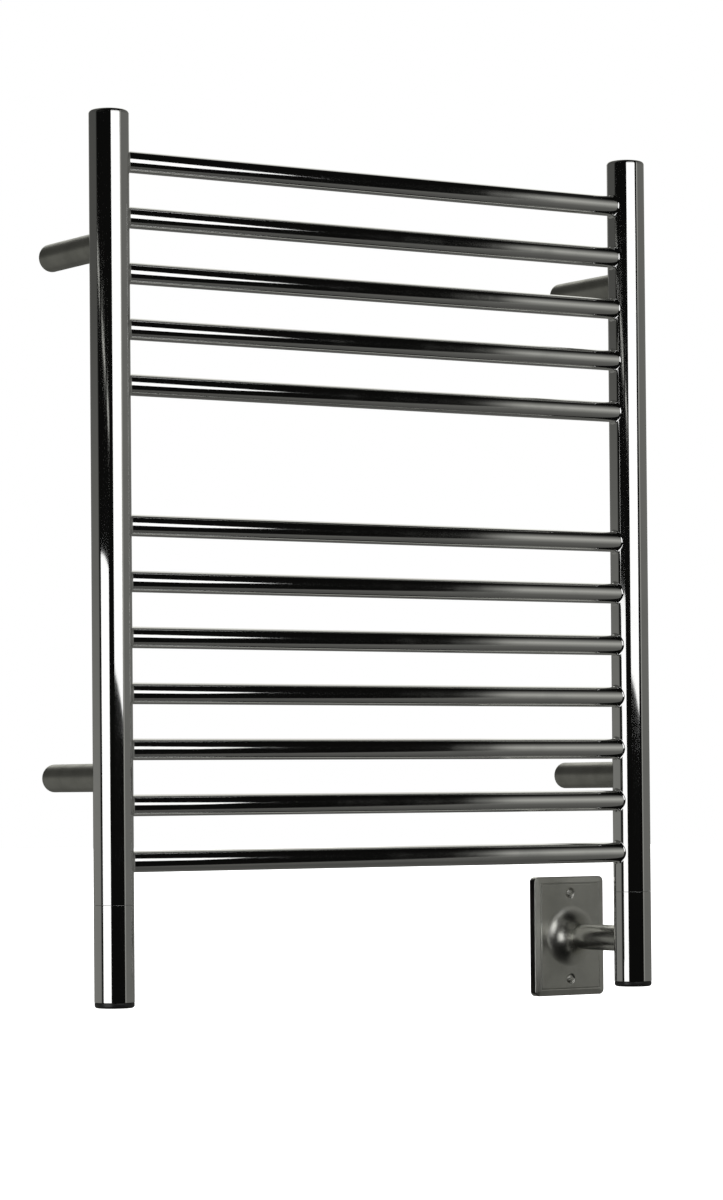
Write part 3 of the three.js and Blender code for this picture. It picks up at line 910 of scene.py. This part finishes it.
    def _flare(self, add: Callable[[Array, float], None], inset: float, outwards: bool) -> None:
        """The trumpet: radius and height are a quarter ellipse that leaves the face level.

        Args:
            add: takes each ring.
            inset: how far inside the outer surface.
            outwards: whether the rings run from the neck to the foot.
        """
        steps = 27
        angle = np.linspace(0, np.pi / 2, steps + 1)
        rise = self.neck_end - self.depth
        radius = self.neck + (self.foot - self.neck) * (1 - np.cos(angle)) - inset * np.cos(angle)
        height = self.neck_end - rise * np.sin(angle) - inset * np.sin(angle)
        order = 1 if outwards else -1
        for across, out in zip(radius[::order], height[::order]):
            add(self.circle(float(across)), float(out))

    def build(self, dresser: Dresser) -> None:
        """Makes and dresses the plate and its two screws."""
        skin = Skin().grid(self.surface() + self.centre, round_v=True)
        # The pressing and its screws wear the satin steel whose colour is painted lighter.
        dresser.new_piece(skin.piece("cover_pressing", 50), SATIN_UP_PAINTED_LIGHTER, "cover_plate", "cover_trumpet")
        for level in LEVELS:
            node = f"cover_screw_{level}"
            box = Extent(node)
            SlottedScrew(
                head=float(box.half[2]), dome=1.1 * MM, sink=2 * MM, rim=0.0, shank=1.7 * MM,
                face=self.depth - self.dish + 0.2 * MM, tip=-float(box.high[1]), turn=25,
            ).build(dresser, node, SATIN_UP_PAINTED_LIGHTER)


@dataclass
class SlottedScrew:
    """A screw along Z with its tip down: a domed head with a straight slot, and a threaded shank."""

    head: float
    dome: float
    sink: float
    rim: float
    shank: float
    face: float
    tip: float
    turn: float = 0.0
    slot_width: float = 0.9 * MM
    slot_depth: float = 0.9 * MM
    pitch: float = 0.8 * MM
    thread: float = 0.15 * MM

    def build(self, dresser: Dresser, node: str, finish: Finish, to_wall: bool = False) -> None:
        """Makes the screw in place of a node of the frame, and dresses it.

        Args:
            dresser: finishes it.
            node: the frame's screw.
            finish: what it is made of.
            to_wall: whether the head looks towards the wall instead of away from it.
        """
        c, s = np.cos(np.radians(self.turn)), np.sin(np.radians(self.turn))
        slot_turn = np.array([[c, s, 0], [-s, c, 0], [0, 0, 1]])
        onto_wall = slot_turn @ np.array([[1, 0, 0], [0, 0, 1], [0, -1, 0]])
        turned = onto_wall * [1, -1 if to_wall else 1, 1]
        skin = Skin()
        for part, ring in self.surface():
            skin.grid(part @ turned + Extent(node).centre * [1, 0, 1], round_v=ring)
        dresser.new_piece(skin.piece(node + "_slotted", 30), finish, node)

    def surface(self) -> list[tuple[Array, bool]]:
        """The head and the shank.

        The head is a stack of slices along Y. Each slice runs over the top, whose height is a dome less
        the slot, and back along the underside, a cone. The shank's radius is a wave of height and angle.

        Returns:
            Pairs of a grid and whether its columns close.
        """
        half, lip = self.slot_width / 2 / self.head, 0.02
        overlap, point = 0.3 * MM, 0.8 * MM
        side = np.concatenate([np.sin(np.linspace(0, np.pi / 2, 14)), [half - lip, half + lip]])
        across = np.sort(np.concatenate([side, -side[1:]]))
        share = np.cos(np.linspace(0, np.pi, 25))
        x = self.head * np.sqrt(np.clip(1 - across[:, None] ** 2, 0, 1)) * share[None]
        y = self.head * across[:, None] + 0 * x
        away = np.hypot(x, y) / self.head
        top = self.face + self.rim + self.dome * np.sqrt(np.clip(1 - away**2, 0, 1))
        in_slot = np.abs(across)[:, None] < half
        top = np.where(in_slot, np.minimum(top, self.face + self.rim + self.dome - self.slot_depth), top)
        cone = np.clip((1 - away) * self.head / (self.head - self.shank), 0, 1)
        under = self.face - self.sink * cone
        head = np.stack([
            np.hstack([x, x[:, ::-1]]), np.hstack([y, y[:, ::-1]]), np.hstack([top, under[:, ::-1]])
        ], -1)
        height = np.arange(self.tip, self.face - self.sink + overlap, self.pitch / 8)
        angle = np.linspace(0, 2 * np.pi, 24, endpoint=False)[:, None]
        wave = np.cos(2 * np.pi * height[None] / self.pitch - angle)
        taper = np.clip((height - self.tip) / point, 0.0, 1)[None]
        radius = (self.shank - self.thread + self.thread * wave) * np.sqrt(taper)
        body = np.stack([radius * np.cos(angle), radius * np.sin(angle), height[None] + 0 * radius], -1)
        lid = body[:, -1:] * [0, 0, 1]
        return [(head, True), (np.concatenate([body, lid], 1), False)]


@dataclass
class SupplyArm:
    """The hollow arm from the cover's neck to the leg sleeve of the powered post."""

    wall: float = 2.4 * MM
    edge: float = 0.15 * MM
    gap: float = 0.05 * MM

    def build(self, dresser: Dresser) -> None:
        """Makes and dresses the arm and the bead where it meets the sleeve."""
        box, sleeve = Extent("supply_arm"), Extent("leg_sleeve_right")
        radius, edge = float(box.half[2]), self.edge
        bore, back = radius - self.wall, float(sleeve.centre[1]) + float(sleeve.half[0])
        neck_end = float(Extent("cover_trumpet").low[1]) - self.gap
        section = np.vstack([
            line((bore, back), (radius, back), (radius, neck_end - edge - LOOP)),
            arc(radius - edge, neck_end - edge, edge, 0, 90, 3),
            line((bore, neck_end)),
        ])
        skin = welded_tube(section, box, sleeve)
        # The arm wears the smoother satin steel whose colour is painted lighter.
        dresser.new_piece(skin.piece("supply_arm_tube"), SMOOTH_SATIN_PAINTED_LIGHTER, "supply_arm")


@dataclass
class LegScrew:
    """The pan-head screw at the back of a leg sleeve."""

    side: str

    def build(self, dresser: Dresser) -> None:
        """Makes and dresses the screw, its head towards the wall."""
        node = f"leg_screw_{self.side}"
        box = Extent(node)
        dome, rim = 0.9 * MM, 0.7 * MM
        SlottedScrew(
            head=float(box.half[2]), dome=dome, sink=0.02 * MM, rim=rim, shank=2 * MM,
            face=float(box.high[1]) - dome - rim, tip=float(box.low[1]), slot_width=0.8 * MM, turn=12,
        ).build(dresser, node, PLATED, to_wall=True)


# ------------------------------------------------ studio
@dataclass
class Camera:
    """The camera: where it stands, which way it looks, and its lens."""

    place: Triple = (-1.9626, -3.1051, 0.1882)
    yaw: float = 32.936
    pitch: float = 1.324
    roll: float = -0.472
    lens: float = 117.49
    shift_up: float = 1 / 12

    def build(self) -> None:
        """Makes the camera the scene's."""
        yaw, pitch, roll = np.radians([self.yaw, self.pitch, self.roll])
        ahead = np.array([np.sin(yaw) * np.cos(pitch), np.cos(yaw) * np.cos(pitch), np.sin(pitch)])
        level = np.array([np.cos(yaw), -np.sin(yaw), 0])
        upright = np.cross(level, ahead)
        right = np.cos(roll) * level + np.sin(roll) * upright
        up = -np.sin(roll) * level + np.cos(roll) * upright
        data = bpy.data.cameras.new("camera")
        data.lens, data.shift_y = self.lens, self.shift_up
        camera = bpy.data.objects.new("camera", data)
        turned = np.eye(4)
        turned[:3] = np.column_stack([right, up, -ahead, self.place])
        camera.matrix_world = Matrix(turned.tolist())
        bpy.context.scene.collection.objects.link(camera)
        bpy.context.scene.camera = camera


@dataclass
class Card:
    """A flat upright panel that the camera doesn't see: it lights the steel and shows in it.

    Attributes:
        name: of the panel.
        foot: where its own origin is.
        faces: the way it looks, level.
        outline: its corners, as (to its right, up).
        radiance: how bright it is; a panel of 0 is a dark flag.
    """

    name: str
    foot: Triple
    faces: Triple
    outline: tuple[tuple[float, float], ...]
    radiance: float

    def build(self) -> None:
        """Makes the panel as a fan about its middle."""
        ahead = np.array(self.faces) / np.linalg.norm(self.faces)
        right = np.cross(ahead, [0, 0, 1])
        corners = np.array(self.outline)
        rim = np.array(self.foot) + corners[:, :1] * right + corners[:, 1:] * [0, 0, 1]
        middle = np.broadcast_to(rim.mean(0), rim.shape)
        card = Skin().grid(np.stack([middle, rim], 1)).piece(self.name)
        material = bpy.data.materials.new(self.name)
        wires = Wiring(material)
        glow = wires.node("ShaderNodeEmission", None, {"Color": (1, 1, 1, 1), "Strength": self.radiance})
        wires.node("ShaderNodeOutputMaterial", None, {"Surface": glow})
        card.data.materials.append(material)
        card.visible_camera = False
        card.visible_shadow = False
        card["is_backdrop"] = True


@dataclass
class Studio:
    """The room round the rack: a dim studio in the reflections, a white field behind, a pale floor."""

    floor_drop: float = 0.42
    floor_radius: float = 40.0
    floor_glow: float = 0.75

    def build(self) -> None:
        """Makes the world, the panels and the floor."""
        scene = bpy.context.scene
        scene.view_settings.view_transform = "Standard"
        self._world()
        front = ((-0.93, 0.36), (-0.93, 1.75), (1.05, 1.75), (1.2, 0.95), (1.02, 0.3))
        Card("front_card", (0, -2.2, 0), (0, 1, 0), front, 1.3).build()
        left = ((-0.42, -0.5), (-0.42, 0.44), (0.3, 0.44), (0.3, -0.5))
        Card("left_card", (-1.0, -0.5, 0), (1, 0, 0), left, 1.3).build()
        flag = ((-0.2405, -0.04), (-0.2405, 0.13), (-0.215, 0.13), (-0.215, -0.04))
        Card("dark_flag", (0, 0.004, 0), (0, -1, 0), flag, 0.0).build()
        self._floor()

    def _world(self) -> None:
        """White for the camera, even light for dull surfaces, and the studio's walls for shiny ones.

        Azimuth runs from -Y towards +X and height from level upwards, both in degrees.
        """
        world = bpy.data.worlds.new("studio")
        bpy.context.scene.world = world
        wires = Wiring(world)
        way = wires.node("ShaderNodeTexCoord", out="Generated")
        x = wires.node("ShaderNodeSeparateXYZ", None, {0: way}, out="X")
        y, z = x.out("Y"), x.out("Z")
        azimuth = wires.maths("ARCTAN2", x, -1 * y) * float(np.degrees(1))
        height = wires.maths("ARCSINE", z) * float(np.degrees(1))

        def by_height(*stops: tuple[float, float]) -> Signal:
            """A brightness that runs through (degrees up, brightness) stops."""
            ramp = {"stops": [(place / 180 + 0.5, level) for place, level in stops]}
            return wires.node("ShaderNodeValToRGB", ramp, {0: height * (1 / 180) + 0.5})

        # The lit wall begins at a corner to the right of the front, which bends away low down.
        corner, bend, bend_below = 0.571, 5.9e-5, -9
        sunk = wires.maths("MAXIMUM", bend_below - height, 0)
        past_corner = (x - corner + sunk * sunk * bend).step(-0.004, 0.005)
        front_right = wires.maths("MAXIMUM", past_corner * azimuth.step(0, 10), azimuth.step(100, 120))
        wall = front_right * by_height(
            (-80, 0.05), (-55, 0.075), (-40, 0.105), (-14, 0.14),
            (5, 0.15), (22, 0.12), (38, 0.08), (48, 0.008),
        )
        screen = past_corner * azimuth.step(0, 10) * (1 - x.step(0.61, 0.70)) * by_height(
            (-26, 0.0), (-12, 0.08), (0, 0.19), (12, 0.30), (26, 0.17), (40, 0.03), (48, 0.0)
        )
        left = (1 - azimuth.step(-112, -101)) * by_height(
            (-30, 0.17), (0, 0.20), (7, 0.075), (40, 0.06), (60, 0.1)
        )
        behind = azimuth.between(126, 172, 14) * height.between(10, 50, 10) * 0.7
        # A thin pole, broken into three glints, falls slowly from left to right.
        pole_height, fall, pole_start = 7.9, 0.039, 104
        stand = pole_height - fall * (azimuth + pole_start) - height
        glints = azimuth.between(-104, -88, 5) + azimuth.between(-78, -58, 6) + azimuth.between(-50, -38, 5)
        pole = abs(stand).between(-1, 0.12, 0.1) * glints * 0.8
        studio = wall + screen + left + behind + pole + 0.004

        tint = wires.mix(studio, (0, 0, 0), (1.0, 1.0, 0.94))
        walls = wires.node("ShaderNodeBackground", None, {"Color": tint, "Strength": 1.0})
        field = wires.node("ShaderNodeBackground", None, {"Color": (1, 1, 1, 1), "Strength": 1.0})
        seen = wires.node("ShaderNodeLightPath", out="Is Camera Ray")
        bare = wires.maths("MAXIMUM", seen, seen.out("Is Diffuse Ray"))
        both = wires.node("ShaderNodeMixShader", None, {0: bare, 1: walls, 2: field})
        wires.node("ShaderNodeOutputWorld", None, {"Surface": both})

    def _floor(self) -> None:
        """A wide pale disc under the rack, left out of the reflections.

        It glows a little, so that it meets the white field without an edge.
        """
        low = float(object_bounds()[0][2]) - self.floor_drop
        radius = np.array([0.0, 1.0, 5.0, self.floor_radius])
        disc = Skin().grid(spun(np.stack([radius, np.full(4, low)], -1), 96))
        floor = disc.piece("floor")
        material = bpy.data.materials.new("pale_floor")
        wires = Wiring(material)
        cloud = wires.noise((0.8, 0.8, 0.8), detail=3)
        wires.surface({
            "Base Color": wires.mix(cloud, (0.93, 0.93, 0.93), (0.95, 0.95, 0.95)),
            "Roughness": 0.9,
            "Emission Color": (1, 1, 1, 1),
            "Emission Strength": self.floor_glow,
        })
        floor.data.materials.append(material)
        floor.visible_glossy = False
        floor.visible_diffuse = False
        floor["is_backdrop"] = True


# ------------------------------------------------ main
KEPT = {
    PLATED: [
        *(f"leg_{part}_{side}" for part in ("spigot", "nut") for side in SIDES),
        *(f"grub_screw_{level}_{side}" for level in LEVELS for side in SIDES),
        "mounting_strap",
        "thermal_cutoff",
    ],
    BRASS: ["arm_nipple", "nipple_locknut", "earth_tag"],
    NYLON: ["supply_bushing", "splice_line", "splice_neutral"],
    SILICONE: ["heating_cable"],
    LEAD_BLACK: ["lead_line"],
    LEAD_WHITE: ["lead_neutral"],
    LEAD_GREEN: ["lead_earth"],
}


def main() -> None:
    """Builds every sub-assembly, then the studio."""
    logging.basicConfig(level=logging.INFO, format="%(name)s %(message)s")
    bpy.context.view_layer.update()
    dresser = Dresser()
    bars = sorted(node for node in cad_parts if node.startswith("bar_"))
    for side in SIDES:
        Upright(side).build(dresser, bars)
        LegScrew(side).build(dresser)
        for level in LEVELS:
            Standoff(level, side).build(dresser)
    for node in bars:
        CrossBar(node).build(dresser)
    CoverPlate().build(dresser)
    SupplyArm().build(dresser)
    for finish, nodes in KEPT.items():
        dresser.keep(finish, *nodes)
    Camera().build()
    Studio().build()


if __name__ == "__main__":
    main()
